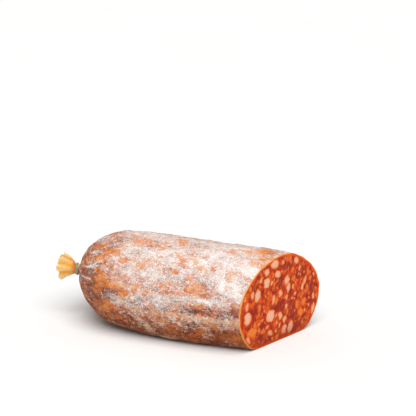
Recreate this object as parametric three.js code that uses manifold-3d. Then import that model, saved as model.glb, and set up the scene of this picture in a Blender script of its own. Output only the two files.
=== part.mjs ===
// A large dry-cured sausage, cut across on the slant and lying on its flattened under side.
// The stuffed body is one solid with the gathered neck and the pleated tail of casing beyond the tie,
// because the casing runs through all three. The string tie round the neck is a second solid.
//
// Millimetres, +Z up. The sausage lies along X, with its tied end towards -X and the cut towards +X.
// The functions below measure x from the tied pole of the body, y from its middle plane and z from
// the surface it lies on. The last lines move the origin to the bottom centre of the whole.

import * as THREE from "three";
import { mergeVertices } from "three/addons/utils/BufferGeometryUtils.js";
import Module from "manifold-3d";

// The body
const BODY_LENGTH = 228; // tied pole to the middle of the cut face
const BODY_RADIUS = 59.4;
const DOME_LENGTH = 57.3; // over which the tied end rounds off
const DOME_POWER = 2.3; // blunter than a circle, which has 2
const BARREL = 0.107; // share of the radius lost 100 mm from the thickest place
const THICKEST_X = 143;
const BODY_SQUASH = 0.974; // height over width of the round part of the section
const CORE_HEIGHT = 39.8; // middle of the section above the rest face, so the under side is flat
const REST_FILLET = 8.9; // softness of the edge between the flank and the flat under side
const REST_FILLET_SHARE = 0.3; // most that the fillet takes of the radius, near the pole
const TIED_END_LIFT = 11.4; // rise of the section's middle at the tied end
const LIFT_LENGTH = 188;
const CUT_ANGLE = THREE.MathUtils.degToRad(26.8); // slant of the cut in plan
const CUT_EDGE_ROUND = 0.9; // soft edge where the casing meets the cut
const RELIEF_FADE_RADIUS = 30; // under this radius of the dome the relief fades out
const GATHER_FADE_RADIUS = 12; // and under this one the gathers do

// The gathered neck. It sets off from the pole at a slant, and distances along it start at the pole.
const NECK_RADIUS = 5.5;
const NECK_SLANT = THREE.MathUtils.degToRad(20); // turned towards -Y, from the line of the body
const NECK_PULL = 3.4; // how far the dome is drawn out towards the tie
const NECK_SPREAD = 4.5; // radial reach of that pull
const NECK_LENGTH = 7.9; // after which the tail starts to flare
const NECK_CREASE = 0.35;
const DOME_LAST_TURN = 0.12; // radians from the pole at which the dome hands over to the neck
const GATHER_COUNT = 15;
const GATHER_DEPTH = 1.5;
const GATHER_REACH = 17; // distance from the pole over which the gathers fade
const GATHER_SWAY = 0.8; // radians by which their spacing varies

// The tail of casing beyond the tie
const TAIL_LENGTH = 19.5; // from the neck to the middle of the free edge
const TAIL_TOP_SHORTER = 8; // how much less far the top corner reaches
const TAIL_FOOT_SHORTER = 4.6;
const TAIL_HALF_HEIGHT = 13.8;
const TAIL_HALF_DEPTH = 8.6;
const TAIL_RISE = 3.5;
const TAIL_SPREAD_POWER = 0.68; // under 1 the tail springs open near the tie
const TAIL_SPREAD_LEAN = 0.17; // by which the upper edge does so sooner than the lower
const TAIL_PLEATS = 8;
const TAIL_PLEAT_DEPTH = 0.15; // share of the tail's radius
const TAIL_MINOR_PLEAT = 0.4; // depth of the pleats between, as a share of the others
const TAIL_RAGGED = 0.9; // unevenness of the free edge
const MOUTH_DEPTH = 12; // hollow between the pleats at the free end
const MOUTH_RISE_SHARE = 0.8; // of the tail's rise

// The tie
const STRING_RADIUS = 0.8;
const STRING_TURNS = 2;
const TURN_SPACING = 1.42;
const TIE_GAP = 0.35; // clear space round the neck
const TIE_DISTANCE = 6; // from the pole, along the neck
const KNOT_RADIUS = 1.75;
const KNOT_OFFSET = 0.9; // from the middle line of the string to the middle of the knot
const STUB_LENGTH = 7;
const STUB_RADIUS = 0.64;
const STUB_STAND_OFF = 2.6; // distance of a string end from the middle line of the turns

// Mesh fineness
const AROUND = 84;
const BODY_STATIONS = 25;
const DOME_STATIONS = 14;
const TAIL_STATIONS = 8;
const MOUTH_STATIONS = 4;

// Broad swells of the body: height, length along x for one radian, turns round the section, phase.
const SWELLS = [
  { height: 0.55, length: 31, turns: 2, phase: 3.6 },
  { height: 0.4, length: 23, turns: -3, phase: 1.7 },
];

// Knobs of coarse meat, each a wave along the body times a wave round it. The wave along sways with
// the angle, and the one round it twists by a radian over the last length.
const KNOBS = [
  { height: 0.32, length: 5.1, phase: 0, sway: 3, turns: 11, twistLength: 37 },
  { height: 0.24, length: 7.7, phase: 2, sway: 0, turns: 17, twistLength: -29 },
];

// Long shallow troughs pressed into the casing: the angle round the section in degrees from +Y
// through the top, the range of x that they run over, their half width in degrees and depth.
// The last two have a negative depth, so they are broad swellings.
const TROUGHS = [
  { angle: 175, drift: 6, from: 85, to: 206, halfWidth: 5.5, depth: 1.5 },
  { angle: 200, drift: -5, from: 60, to: 206, halfWidth: 5.5, depth: 1.3 },
  { angle: 151, drift: 9, from: 25, to: 140, halfWidth: 7, depth: 0.7 },
  { angle: 76, drift: -4, from: 30, to: 215, halfWidth: 13, depth: 1.6 },
  { angle: 52, drift: 4, from: 60, to: 230, halfWidth: 7, depth: 1.2 },
  { angle: 54, drift: 0, from: 205, to: 320, halfWidth: 24, depth: 1.2 },
  { angle: 15, drift: -6, from: 40, to: 190, halfWidth: 7, depth: 1.6 },
  { angle: -28, drift: 6, from: 90, to: 235, halfWidth: 6, depth: 1.4 },
  { angle: 8, drift: 0, from: 195, to: 320, halfWidth: 28, depth: -1.1 },
  { angle: 196, drift: 0, from: -20, to: 80, halfWidth: 26, depth: -1.6 },
];

const TROUGH_END_POWER = 0.7; // under 1 the ends of a trough set in sooner
const TROUGH_BULGE = 0.25; // height of the low bulges beside a trough, as a share of its depth
const TROUGH_BULGE_SPREAD = 6;

const degrees = THREE.MathUtils.degToRad;
const clamp01 = (v) => THREE.MathUtils.clamp(v, 0, 1);

// 0 below 0, a quarter parabola near 0 and z itself above, so that the rest face is truly flat.
function flattenUnderside(z, softness) {
  if (z >= softness) return z;
  if (z <= -softness) return 0;
  return (z + softness) ** 2 / (4 * softness);
}

// The radius of the round section, without relief, at a distance x from the tied pole.
function bodyRadius(x) {
  const fromDomeEnd = clamp01(1 - x / DOME_LENGTH);
  const dome = Math.sqrt(Math.max(0, 1 - fromDomeEnd ** DOME_POWER));
  return BODY_RADIUS * dome * (1 - BARREL * ((x - THICKEST_X) / 100) ** 2);
}

function coreHeight(x) {
  return CORE_HEIGHT + TIED_END_LIFT * clamp01(1 - x / LIFT_LENGTH) ** 2;
}

// Smooth 0 to 1 and back to 0 along a trough, with soft ends.
function alongTrough(x, trough) {
  const share = (x - trough.from) / (trough.to - trough.from);
  return share <= 0 || share >= 1 ? 0 : Math.sin(Math.PI * share) ** TROUGH_END_POWER;
}

// The uneven surface of the stuffed casing: broad swells, knobs of coarse meat and long troughs.
function bodyRelief(x, angle) {
  let relief = 0;
  for (const { height, length, turns, phase } of SWELLS) {
    relief += height * Math.sin(x / length + turns * angle + phase);
  }
  for (const { height, length, phase, sway, turns, twistLength } of KNOBS) {
    const along = Math.sin(x / length + phase + sway * Math.sin(2 * angle));
    relief += height * along * Math.sin(turns * angle + x / twistLength);
  }
  for (const trough of TROUGHS) {
    const along = alongTrough(x, trough);
    if (along === 0) continue;
    const share = (x - trough.from) / (trough.to - trough.from);
    const middle = degrees(trough.angle + trough.drift * (share - 0.5));
    const turned = Math.atan2(Math.sin(angle - middle), Math.cos(angle - middle));
    const away = (turned / degrees(trough.halfWidth)) ** 2;
    // A hollow with a low bulge on each side, as in casing that has shrunk.
    const hollow = (1 + TROUGH_BULGE) * Math.exp(-away);
    const bulge = TROUGH_BULGE * Math.exp(-away / TROUGH_BULGE_SPREAD);
    relief -= trough.depth * along * (hollow - bulge);
  }
  return relief;
}

// The gathers that run from the neck out over the dome.
function gather(x, angle) {
  const wave = Math.cos(GATHER_COUNT * angle + GATHER_SWAY * Math.sin(3 * angle));
  return 0.5 * (wave - 1) * GATHER_DEPTH * Math.exp(-Math.max(0, x) / GATHER_REACH);
}

function bodyPoint(x, angle) {
  const plain = bodyRadius(x);
  const relief = clamp01(plain / RELIEF_FADE_RADIUS) ** 2 * bodyRelief(x, angle);
  const radius = plain + relief + clamp01(plain / GATHER_FADE_RADIUS) * gather(x, angle);
  const softness = Math.min(REST_FILLET, REST_FILLET_SHARE * plain);
  return new THREE.Vector3(
    x,
    radius * Math.cos(angle),
    flattenUnderside(coreHeight(x) + BODY_SQUASH * radius * Math.sin(angle), softness),
  );
}

// The cut plane passes through the middle of the section at x = BODY_LENGTH.
function cutX(y) {
  return BODY_LENGTH + y * Math.tan(CUT_ANGLE);
}

// A point of the body's skin at a share of the way from the dome to the slanted cut.
function barrelPoint(share, angle) {
  let x = BODY_LENGTH;
  for (let step = 0; step < 12; step++) x = cutX(bodyPoint(x, angle).y);
  return bodyPoint(THREE.MathUtils.lerp(DOME_LENGTH, x, share), angle);
}

function ringOf(pointAt) {
  return Array.from({ length: AROUND }, (_, i) => pointAt((i / AROUND) * 2 * Math.PI));
}

// The rim of the cut is drawn in a little, and the casing ends a little before it.
function cutRings() {
  const rim = ringOf((angle) => barrelPoint(1, angle));
  const middle = rim.reduce((sum, p) => sum.add(p), new THREE.Vector3()).divideScalar(AROUND);
  const outer = rim.map((p) => p.clone().add(new THREE.Vector3(-CUT_EDGE_ROUND, 0, 0)));
  const inner = rim.map((p) => {
    const inward = middle.clone().sub(p).setLength(CUT_EDGE_ROUND);
    return p.clone().add(inward);
  });
  return { inner, outer, middle };
}

function barrelRings() {
  return Array.from({ length: BODY_STATIONS - 1 }, (_, i) => {
    const share = 1 - (i + 1) / BODY_STATIONS;
    return ringOf((angle) => barrelPoint(share, angle));
  });
}

const POLE_HEIGHT = CORE_HEIGHT + TIED_END_LIFT;
const NECK_DIRECTION = new THREE.Vector3(-Math.cos(NECK_SLANT), -Math.sin(NECK_SLANT), 0);
const ACROSS_NECK = new THREE.Vector3(-Math.sin(NECK_SLANT), Math.cos(NECK_SLANT), 0);

function neckPoint(distance, across, up) {
  return new THREE.Vector3(0, 0, POLE_HEIGHT + up)
    .addScaledVector(NECK_DIRECTION, distance)
    .addScaledVector(ACROSS_NECK, across);
}

// Rings over the dome, spaced by angle, and drawn out towards the neck near the pole.
function domeRings() {
  return Array.from({ length: DOME_STATIONS }, (_, i) => {
    const turn = THREE.MathUtils.lerp(Math.PI / 2, DOME_LAST_TURN, i / (DOME_STATIONS - 1));
    const x = DOME_LENGTH * (1 - Math.cos(turn));
    const pull = NECK_PULL * Math.exp(-(bodyRadius(x) - NECK_RADIUS) / NECK_SPREAD);
    return ringOf((angle) => bodyPoint(x, angle).addScaledVector(NECK_DIRECTION, pull));
  });
}

// The neck keeps its creases turned inwards, so that the tie clears it.
function neckRings() {
  return [NECK_PULL + 0.8, TIE_DISTANCE, NECK_LENGTH].map((distance) =>
    ringOf((angle) => {
      const radius = NECK_RADIUS + 0.5 * NECK_CREASE * (Math.cos(GATHER_COUNT * angle) - 1);
      return neckPoint(distance, radius * Math.cos(angle), radius * Math.sin(angle));
    }),
  );
}

// The flared, pleated tail. share runs from 0 at the neck to 1 at the free edge.
function tailPoint(share, angle) {
  const upright = Math.sin(angle);
  const depth = THREE.MathUtils.lerp(NECK_RADIUS, TAIL_HALF_DEPTH, share);
  // The upper edge springs up at once and the lower one later.
  const spread = share ** (TAIL_SPREAD_POWER - TAIL_SPREAD_LEAN * upright);
  const height = THREE.MathUtils.lerp(NECK_RADIUS, TAIL_HALF_HEIGHT, spread);
  const pleat =
    TAIL_PLEAT_DEPTH * Math.cos(TAIL_PLEATS * (angle - Math.PI / 2) + 0.7 * Math.sin(2 * angle)) +
    TAIL_MINOR_PLEAT * TAIL_PLEAT_DEPTH * Math.cos((TAIL_PLEATS - 3) * angle + 1.1);
  const size = 1 + share * pleat;
  const shorter = (upright > 0 ? TAIL_TOP_SHORTER : TAIL_FOOT_SHORTER) * upright ** 2;
  const ragged = TAIL_RAGGED * (Math.sin(3 * angle + 0.6) + Math.cos(TAIL_PLEATS * angle + 0.5));
  const reach = TAIL_LENGTH - shorter + ragged;
  return neckPoint(
    NECK_LENGTH + reach * share,
    depth * size * Math.cos(angle),
    TAIL_RISE * Math.sqrt(share) + height * size * upright,
  );
}

const MOUTH = neckPoint(NECK_LENGTH + TAIL_LENGTH - MOUTH_DEPTH, 0, MOUTH_RISE_SHARE * TAIL_RISE);

// The outside of the tail, then back from its free edge into the hollow.
function tailRings() {
  const outside = Array.from({ length: TAIL_STATIONS }, (_, i) =>
    ringOf((angle) => tailPoint((i + 1) / TAIL_STATIONS, angle)),
  );
  const inside = Array.from({ length: MOUTH_STATIONS }, (_, i) =>
    ringOf((angle) => tailPoint(1, angle).lerp(MOUTH, (i + 0.6) / (MOUTH_STATIONS + 0.6))),
  );
  return [...outside, ...inside];
}

// Joins the rings into one closed skin, with a fan of triangles at each end.
function skinOf(rings, firstMiddle, lastMiddle) {
  const points = [...rings.flat(), firstMiddle, lastMiddle];
  const positions = points.flatMap((p) => [p.x, p.y, p.z]);
  const index = [];
  const first = points.length - 2;
  const last = points.length - 1;
  for (let i = 0; i < AROUND; i++) {
    const next = (i + 1) % AROUND;
    index.push(first, i, next);
    for (let ring = 0; ring < rings.length - 1; ring++) {
      const a = ring * AROUND + i;
      const b = ring * AROUND + next;
      index.push(a, a + AROUND, b, b, a + AROUND, b + AROUND);
    }
    const end = (rings.length - 1) * AROUND;
    index.push(last, end + next, end + i);
  }
  const geometry = new THREE.BufferGeometry();
  geometry.setAttribute("position", new THREE.Float32BufferAttribute(positions, 3));
  geometry.setIndex(index);
  geometry.computeVertexNormals();
  return geometry;
}

function sausageGeometry() {
  const cut = cutRings();
  const rings = [cut.inner, cut.outer, ...barrelRings(), ...domeRings(), ...neckRings(), ...tailRings()];
  return skinOf(rings, cut.middle, MOUTH);
}

// Solids for joining

const wasm = await Module();
wasm.setup();

function solidOf(geometry) {
  const plain = geometry.clone();
  plain.deleteAttribute("normal");
  plain.deleteAttribute("uv");
  const merged = mergeVertices(plain, 1e-4);
  return new wasm.Manifold(
    new wasm.Mesh({
      numProp: 3,
      vertProperties: new Float32Array(merged.attributes.position.array),
      triVerts: new Uint32Array(merged.index.array),
    }),
  );
}

function geometryOf(solid) {
  const mesh = solid.getMesh();
  const geometry = new THREE.BufferGeometry();
  geometry.setAttribute("position", new THREE.Float32BufferAttribute(mesh.vertProperties, 3));
  geometry.setIndex(new THREE.BufferAttribute(mesh.triVerts, 1));
  geometry.computeVertexNormals();
  return geometry;
}

// A length of string along a smooth curve.
function stringPiece(points, steps, radius) {
  const section = new THREE.Shape().absarc(0, 0, radius, 0, 2 * Math.PI);
  const path = new THREE.CatmullRomCurve3(points);
  return new THREE.ExtrudeGeometry(section, { steps, curveSegments: 4, extrudePath: path });
}

// The string goes round the neck in turns that lie side by side, and is knotted on the +Y side.
function tieGeometry() {
  const turnRadius = NECK_RADIUS + TIE_GAP + STRING_RADIUS;
  const parts = [];
  for (let turn = 0; turn < STRING_TURNS; turn++) {
    const ring = new THREE.TorusGeometry(turnRadius, STRING_RADIUS, 8, 40);
    ring.rotateY(Math.PI / 2);
    ring.translate((turn - (STRING_TURNS - 1) / 2) * TURN_SPACING, 0, 0);
    parts.push(ring);
  }
  const knot = new THREE.SphereGeometry(KNOT_RADIUS, 12, 8);
  knot.scale(1.15, 0.85, 1);
  knot.translate(0, turnRadius + KNOT_OFFSET, 0);
  parts.push(knot);
  for (const side of [-1, 1]) {
    const standOff = turnRadius + STUB_STAND_OFF;
    const start = new THREE.Vector3(0, turnRadius + KNOT_OFFSET, 0);
    const bend = new THREE.Vector3(0.5 * side, standOff - 0.2, -0.2 * STUB_LENGTH);
    const end = new THREE.Vector3(0.9 * side, standOff + 0.1 + 0.5 * side, (0.12 * side - 0.85) * STUB_LENGTH);
    parts.push(stringPiece([start, bend, end], 6, STUB_RADIUS));
  }
  const joined = parts.map(solidOf).reduce((whole, piece) => whole.add(piece));
  const centre = neckPoint(TIE_DISTANCE, 0, 0);
  return geometryOf(joined).rotateZ(NECK_SLANT).translate(centre.x, centre.y, centre.z);
}

const curedMeat = new THREE.MeshStandardMaterial({ color: 0xb98468, roughness: 0.75, metalness: 0 });
const greenString = new THREE.MeshStandardMaterial({ color: 0x7d9a8c, roughness: 0.8, metalness: 0 });

const sausage = new THREE.Mesh(sausageGeometry(), curedMeat);
sausage.name = "sausage";
const tie = new THREE.Mesh(tieGeometry(), greenString);
tie.name = "tie";

const model = new THREE.Group();
model.add(sausage, tie);

const bounds = new THREE.Box3().setFromObject(model);
model.position.set(-(bounds.min.x + bounds.max.x) / 2, -(bounds.min.y + bounds.max.y) / 2, -bounds.min.z);

export default model;
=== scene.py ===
# %% [markdown]
# # A cured sausage with a bloom of mould
# The sausage is a stuffed casing: one end is gathered and tied with string, the other is cut across
# on the slant. This lesson builds it from a few curves, skins them finely enough for wrinkles, and
# paints three very different surfaces: powdery mould, moist marbled meat and thin dry casing.

import math

import bpy
import numpy as np
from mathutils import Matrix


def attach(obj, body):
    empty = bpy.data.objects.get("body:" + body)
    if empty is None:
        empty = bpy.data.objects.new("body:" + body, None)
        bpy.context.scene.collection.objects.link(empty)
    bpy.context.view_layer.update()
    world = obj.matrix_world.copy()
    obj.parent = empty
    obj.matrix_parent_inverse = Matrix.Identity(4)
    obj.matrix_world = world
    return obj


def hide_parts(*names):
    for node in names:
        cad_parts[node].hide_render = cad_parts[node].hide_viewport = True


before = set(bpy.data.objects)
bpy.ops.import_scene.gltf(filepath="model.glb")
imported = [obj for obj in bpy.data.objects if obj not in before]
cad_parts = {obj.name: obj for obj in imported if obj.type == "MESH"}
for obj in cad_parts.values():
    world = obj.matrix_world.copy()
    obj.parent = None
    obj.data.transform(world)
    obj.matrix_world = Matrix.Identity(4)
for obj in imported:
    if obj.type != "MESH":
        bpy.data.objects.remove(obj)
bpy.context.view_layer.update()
rng = np.random.default_rng(11)
MM = 0.001


# %% A helper for printing
def span(values, digits=1):
    """The smallest and the largest of some values."""
    return f"from {np.min(values):.{digits}f} to {np.max(values):.{digits}f}"


# %% [markdown]
# ## The form of the body
# The section is a circle that has settled flat underneath, and the circle's radius follows a rounded
# dome at the tied end and a slight barrel along the rest. Keeping the form as a formula means the
# same numbers can drive the skin, the cut face and every mark painted on them.

# %% Sizes of the body, in millimetres
# x is counted from the tied pole, whose place in the shared frame is TIED_POLE.
TIED_POLE = (-111.807, -0.412)
BODY_LENGTH = 228.0
BODY_RADIUS = 59.4
DOME_LENGTH = 57.3
DOME_POWER = 2.3
BARREL = 0.107
THICKEST_X = 143.0
BODY_SQUASH = 0.974
CORE_HEIGHT = 39.8
REST_FILLET = 8.9
REST_FILLET_SHARE = 0.3
TIED_END_LIFT = 11.4
LIFT_LENGTH = 188.0
CUT_ANGLE = math.radians(26.8)
POLE_HEIGHT = CORE_HEIGHT + TIED_END_LIFT
print("height of the tied pole", round(POLE_HEIGHT, 1), "mm")


# %% Section of the body
def radius_at(x):
    from_dome_end = np.clip(1 - x / DOME_LENGTH, 0, 1)
    dome = np.sqrt(np.maximum(1 - from_dome_end**DOME_POWER, 0))
    return BODY_RADIUS * dome * (1 - BARREL * ((x - THICKEST_X) / 100) ** 2)


def core_height(x):
    return CORE_HEIGHT + TIED_END_LIFT * np.clip(1 - x / LIFT_LENGTH, 0, 1) ** 2


def flatten_underside(z, softness):
    soft = (z + softness) ** 2 / (4 * softness)
    return np.where(z >= softness, z, np.where(z <= -softness, 0.0, soft))


print("radius at the cut", radius_at(BODY_LENGTH).round(1), "mm")

# %% [markdown]
# ## Relief of the casing
# Casing shrinks as the meat dries, so it sinks into long troughs and puckers into gathers near the
# string. Broad relief has to be real geometry because it changes the outline and the shadows. The
# gathers here get sharp creases between soft folds, which a plain sine wave would not give.

# %% Swells, knobs and troughs
# Broad swells: height, length along x for one radian, turns round the section, phase.
SWELLS = [
    (0.55, 31, 2, 3.6),
    (0.4, 23, -3, 1.7),
]
# Knobs of coarse meat: height, length along x, phase, sway, turns round, length for a twist.
KNOBS = [
    (0.32, 5.1, 0, 3, 11, 37),
    (0.24, 7.7, 2, 0, 17, -29),
]
TROUGH_END_POWER = 0.7
TROUGH_BULGE = 0.25
TROUGH_BULGE_SPREAD = 6
# Long troughs: angle, drift, from x, to x, half width in degrees, depth. The last two have a
# negative depth, so they are broad swellings.
TROUGHS = [
    (175, 6, 85, 206, 5.5, 1.5),
    (200, -5, 60, 206, 5.5, 1.3),
    (151, 9, 25, 140, 7, 0.7),
    (76, -4, 30, 215, 13, 1.6),
    (52, 4, 60, 230, 7, 1.2),
    (54, 0, 205, 320, 24, 1.2),
    (15, -6, 40, 190, 7, 1.6),
    (-28, 6, 90, 235, 6, 1.4),
    (8, 0, 195, 320, 28, -1.1),
    (196, 0, -20, 80, 26, -1.6),
]
print("troughs and swellings", len(TROUGHS))


# %% Relief at a point
def turned_from(angle, middle):
    """The angle from the middle of a feature, between minus and plus half a turn."""
    return np.arctan2(np.sin(angle - middle), np.cos(angle - middle))


def troughs(x, angle):
    relief = np.zeros(np.broadcast(x, angle).shape)
    for middle, drift, start, end, half_width, depth in TROUGHS:
        share = np.clip((x - start) / (end - start), 0, 1)
        along = np.abs(np.sin(np.pi * share)) ** TROUGH_END_POWER * ((share > 0) & (share < 1))
        centre = np.radians(middle + drift * (share - 0.5))
        away = (turned_from(angle, centre) / math.radians(half_width)) ** 2
        hollow = (1 + TROUGH_BULGE) * np.exp(-away)
        bulge = TROUGH_BULGE * np.exp(-away / TROUGH_BULGE_SPREAD)
        relief -= depth * along * (hollow - bulge)
    return relief


def body_relief(x, angle):
    relief = troughs(x, angle)
    for height, length, turns, phase in SWELLS:
        relief = relief + height * np.sin(x / length + turns * angle + phase)
    for height, length, phase, sway, turns, twist_length in KNOBS:
        wave = np.sin(x / length + phase + sway * np.sin(2 * angle))
        relief = relief + height * wave * np.sin(turns * angle + x / twist_length)
    return relief


ONCE_ROUND = np.linspace(0, 2 * math.pi, 100)
print("relief half way", span(body_relief(BODY_LENGTH / 2, ONCE_ROUND)), "mm")

# %% Gathers at the string
GATHER_COUNT = 15
GATHER_SWAY = 0.8
GATHER_DEPTH = 1.5
GATHER_REACH = 17.0
CREASE_COUNT = 41
CREASE_SWAY = 2.2
CREASE_TWIST_LENGTH = 9.0
CREASE_DEPTH = 0.35
CREASE_REACH = 26.0


def gathers(x, angle):
    wave = np.cos(GATHER_COUNT * angle + GATHER_SWAY * np.sin(3 * angle))
    fine = np.cos(CREASE_COUNT * angle + CREASE_SWAY * np.sin(2 * angle) + x / CREASE_TWIST_LENGTH)
    from_pole = np.maximum(0, x)
    broad = 0.5 * (wave - 1) * GATHER_DEPTH * np.exp(-from_pole / GATHER_REACH)
    return broad - CREASE_DEPTH * np.abs(fine) * np.exp(-from_pole / CREASE_REACH)


print("gathers at the string", span(gathers(0.0, ONCE_ROUND)), "mm")

# %% A point of the skin
RELIEF_FADE_RADIUS = 30.0
GATHER_FADE_RADIUS = 12.0
SMALLEST_FILLET = 0.001


def body_point(x, angle, fine_relief=0.0):
    plain = radius_at(x)
    fade = np.clip(plain / RELIEF_FADE_RADIUS, 0, 1) ** 2
    puckers = np.clip(plain / GATHER_FADE_RADIUS, 0, 1) * gathers(x, angle)
    radius = plain + fade * (body_relief(x, angle) + fine_relief) + puckers
    softness = np.maximum(np.minimum(REST_FILLET, REST_FILLET_SHARE * plain), SMALLEST_FILLET)
    y = radius * np.cos(angle)
    z = flatten_underside(core_height(x) + BODY_SQUASH * radius * np.sin(angle), softness)
    return y, z


def cut_x(y):
    return BODY_LENGTH + y * math.tan(CUT_ANGLE)


print("half way the skin lies", span(body_point(BODY_LENGTH / 2, ONCE_ROUND)[1]), "mm above the floor")

# %% [markdown]
# ## The neck and its slant
# Beyond the dome the casing runs on as a narrow neck, which is bent to one side. Distances along
# the neck start at the pole, and one helper turns them into positions.

# %% Neck frame
NECK_RADIUS = 5.5
NECK_SLANT = math.radians(20)
NECK_PULL = 3.4
NECK_SPREAD = 4.5
TIE_DISTANCE = 6.0
NECK_LENGTH = 7.9
NECK_DIRECTION = np.array([-math.cos(NECK_SLANT), -math.sin(NECK_SLANT), 0.0])
ACROSS_NECK = np.array([-math.sin(NECK_SLANT), math.cos(NECK_SLANT), 0.0])


def neck_point(distance, across, up):
    spot = np.stack([0 * across, 0 * across, POLE_HEIGHT + up], -1)
    return spot + distance[..., None] * NECK_DIRECTION + across[..., None] * ACROSS_NECK


def in_frame(points_mm):
    """From millimetres at the tied pole to metres in the shared frame."""
    return (points_mm + np.array([TIED_POLE[0], TIED_POLE[1], 0.0])) * MM


print("tied pole at", in_frame(np.array([0.0, 0.0, POLE_HEIGHT])).round(4), "m")

# %% [markdown]
# ## Smooth random fields
# Knobbly relief is easier to control as sums of waves with random directions than as a texture: it
# has no seams, it repeats exactly each run, and it can be sampled at any point of the skin.

# %% Random fields
SIZE_SPREAD = (0.6, 1.5)


def wave_field(points, size, count, seed):
    """A smooth random field of about unit height, with features of the given size in millimetres."""
    source = np.random.default_rng(seed)
    directions = source.normal(size=(count, 3))
    directions /= np.linalg.norm(directions, axis=1)[:, None]
    rates = 2 * np.pi / size * source.uniform(*SIZE_SPREAD, count)
    phases = source.uniform(0, 2 * np.pi, count)
    total = np.zeros(points.shape[:-1])
    for direction, rate, phase in zip(directions, rates, phases):
        total += np.sin(points @ direction * rate + phase)
    return total / math.sqrt(count / 2)


print("a field runs", span(wave_field(np.linspace(0, 99, 600).reshape(-1, 3), 10, 20, 1)))

# %% [markdown]
# ## From points to pieces
# Every piece here is a list of points and the faces between them. Numbers stored per point, such
# as how far it lies from the cut, travel with the mesh, and the finishes read them by name.


# %% Pieces and the numbers they carry
def new_piece(name, vertices, faces):
    mesh = bpy.data.meshes.new(name)
    mesh.from_pydata(vertices.tolist(), [], faces)
    mesh.validate()
    piece = bpy.data.objects.new(name, mesh)
    bpy.context.collection.objects.link(piece)
    mesh.polygons.foreach_set("use_smooth", [True] * len(mesh.polygons))
    print(name, len(mesh.vertices), "points,", len(mesh.polygons), "faces")
    return piece


def add_numbers(piece, kind, field, name, values):
    """Numbers for the first points of a piece. The points after them get zero."""
    everywhere = np.zeros((len(piece.data.vertices), *values.shape[1:]), np.float32)
    everywhere[: len(values)] = values
    piece.data.attributes.new(name, kind, "POINT").data.foreach_set(field, everywhere.ravel())


def add_values(piece, name, values):
    add_numbers(piece, "FLOAT", "value", name, values)


def add_vectors(piece, name, values):
    add_numbers(piece, "FLOAT_VECTOR", "vector", name, values)


# %% [markdown]
# ## Skinning the body
# The skin is a grid of rings. They run from the slanted cut, over the barrel and the dome, into the
# neck, where a small cap closes the mesh out of sight in the root of the tail. Each ring point also
# keeps its distance along and its angle, because the mould will be laid out by those.

# %% Fine wrinkles that fan out from the string
# Start x, end x, start angle, end angle, half width in mm, height in mm. A few broad ones are
# placed, and the rest are drawn at random.
WRINKLES = [
    (6, 44, 154, 142, 0.9, 0.7),
    (5, 36, 161, 170, 0.6, 0.6),
    (22, 40, 194, 199, 0.7, 0.5),
    (4, 30, 178, 190, 0.7, 0.4),
]
RANDOM_WRINKLES = 40
WRINKLE_SWAY, WRINKLE_WAVES, WRINKLE_END_POWER = 1.5, 9, 0.6
for _ in range(RANDOM_WRINKLES):
    start, angle = rng.uniform(2, 9), rng.uniform(0, 360)
    length, drift = rng.uniform(10, 34), rng.normal(0, 8)
    half_width, tall = rng.uniform(0.35, 0.7), rng.uniform(0.1, 0.45)
    WRINKLES.append((start, start + length, angle, angle + drift, half_width, tall))


def wrinkles(x, angle):
    height = np.zeros(np.broadcast(x, angle).shape)
    for start, end, first, last, half_width, tall in WRINKLES:
        share = np.clip((x - start) / (end - start), 0, 1)
        sway = WRINKLE_SWAY * np.sin(share * WRINKLE_WAVES + first)
        middle = np.radians(first + (last - first) * share + sway)
        away = turned_from(angle, middle) * radius_at(x)
        along = np.sin(np.pi * share) ** WRINKLE_END_POWER
        height += tall * along * np.exp(-((away / half_width) ** 2))
    return height


print("wrinkles", len(WRINKLES))

# %% Fine relief of the casing
FIELD_STRETCH = 0.7
KNOB_SIZE, KNOB_HEIGHT = 17, 0.34
PIT_SIZE, PIT_HEIGHT = 7.5, 0.13
WRINKLE_SHARE = 0.5
FINE_SINK = 0.25


def fine_relief(x, angle):
    radius = radius_at(x)
    spots = np.broadcast_arrays(x * FIELD_STRETCH, radius * np.cos(angle), radius * np.sin(angle))
    spots = np.stack(spots, -1)
    knobs = np.abs(wave_field(spots, KNOB_SIZE, 26, 3)) * KNOB_HEIGHT
    pits = wave_field(spots, PIT_SIZE, 26, 4) * PIT_HEIGHT
    return knobs + pits + WRINKLE_SHARE * wrinkles(x, angle) - FINE_SINK


print("fine relief half way", span(fine_relief(BODY_LENGTH / 2, ONCE_ROUND), 2), "mm")

# %% Rings of the casing
AROUND = 360
BARREL_RINGS = 130
DOME_RINGS = 60
NECK_RINGS = 7
DOME_LAST_TURN = 0.12
NECK_INSET = 0.1
NECK_OVERRUN = 0.5
NECK_CREASE, NECK_CREASE_POWER = 0.45, 0.7
CUT_ROUNDS = 12
angles = np.arange(AROUND) / AROUND * 2 * math.pi


def neck_crease(angle):
    return np.abs(np.cos(GATHER_COUNT / 2 * angle)) ** NECK_CREASE_POWER


def ring(x):
    """One ring at x, which may differ round the ring."""
    x = np.broadcast_to(x, angles.shape).astype(float)
    y, z = body_point(x, angles, fine_relief(x, angles))
    return np.stack([x, y, z], -1)


# The cut is slanted, so where each line along the casing ends is found by guessing and correcting.
end_x = np.full(AROUND, BODY_LENGTH)
for _ in range(CUT_ROUNDS):
    end_x = cut_x(body_point(end_x, angles, fine_relief(end_x, angles))[0])
print("the casing ends", span(end_x), "mm from the tied pole")

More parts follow.
